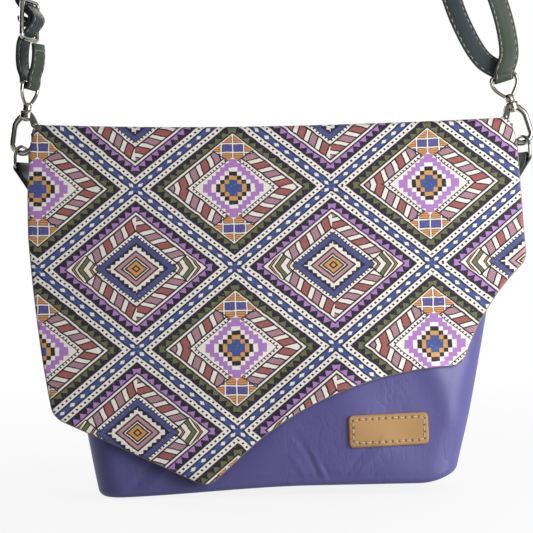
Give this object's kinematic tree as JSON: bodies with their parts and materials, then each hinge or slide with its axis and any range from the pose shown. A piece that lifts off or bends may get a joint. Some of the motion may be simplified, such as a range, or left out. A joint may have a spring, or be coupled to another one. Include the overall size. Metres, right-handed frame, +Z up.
{
  "type": "flap shoulder bag",
  "caption": "Leather shoulder bag with a boxed pouch, a printed flap with a slanting asymmetric hem, a blank sewn label, swivel snap hooks in D-rings and an adjustable doubled strap.",
  "frame": {"origin": "middle of the flat base of the pouch", "axes": "+X to the bag's right as seen from the front, +Y from front to back, +Z up along the hanging direction"},
  "size_m": [0.3245, 0.0752, 0.5637],
  "materials": {
    "body_leather": "smooth indigo-purple leather, satin",
    "printed_leather": "leather printed all over in many colours, satin",
    "label_leather": "tan vegetable-tanned leather, matt",
    "strap_leather": "dark green leather with beige edge stitching, satin",
    "nickel": "nickel-plated, bright"
  },
  "bodies": {
    "bag": {"front_panel": "body_leather", "back_panel": "body_leather", "flap_back_strip": "printed_leather", "label_patch": "label_leather", "snap_socket": "nickel", "snap_washer": "nickel", "side_tab_left": "strap_leather", "side_tab_right": "strap_leather", "strap": "strap_leather", "slider": "nickel", "swivel_eye_left": "nickel", "swivel_eye_right": "nickel"},
    "flap": {"flap": "printed_leather", "snap_stud": "nickel"},
    "ring_left": {"d_ring_left": "nickel"},
    "ring_right": {"d_ring_right": "nickel"},
    "hook_left": {"hook_left": "nickel", "gate_pin_left": "nickel", "gate_spring_left": "nickel"},
    "hook_right": {"hook_right": "nickel", "gate_pin_right": "nickel", "gate_spring_right": "nickel"},
    "gate_left": {"gate_left": "nickel"},
    "gate_right": {"gate_right": "nickel"}
  },
  "joints": [
    {"name": "flap_fold", "type": "hinge", "parent": "bag", "child": "flap", "pos_m": [0, 0.005, 0.2181], "axis": [-1, 0, 0], "range_deg": [0, 110]},
    {"name": "ring_left_swing", "type": "hinge", "parent": "bag", "child": "ring_left", "pos_m": [-0.15473, 0.01256, 0.195], "axis": [0.5, 0.866, 0], "range_deg": [-3.5, 3.5]},
    {"name": "ring_right_swing", "type": "hinge", "parent": "bag", "child": "ring_right", "pos_m": [0.15473, 0.01256, 0.195], "axis": [-0.5, 0.866, 0], "range_deg": [-3.5, 3.5]},
    {"name": "hook_left_swivel", "type": "hinge", "parent": "bag", "child": "hook_left", "pos_m": [-0.15507, 0.01256, 0.20553], "axis": [0.1478, 0, 0.989], "range_deg": [-9, 9]},
    {"name": "hook_right_swivel", "type": "hinge", "parent": "bag", "child": "hook_right", "pos_m": [0.15538, 0.01256, 0.20559], "axis": [-0.284, 0, 0.9588], "range_deg": [-9, 9]},
    {"name": "gate_left_open", "type": "hinge", "parent": "hook_left", "child": "gate_left", "pos_m": [-0.14645, 0.01256, 0.22122], "axis": [0, 1, 0], "range_deg": [0, 25], "stiffness_Nm_per_rad": 0.01, "springref_deg": -11.46},
    {"name": "gate_right_open", "type": "hinge", "parent": "hook_right", "child": "gate_right", "pos_m": [0.14466, 0.01256, 0.21994], "axis": [0, -1, 0], "range_deg": [0, 25], "stiffness_Nm_per_rad": 0.01, "springref_deg": -11.46}
  ]
}
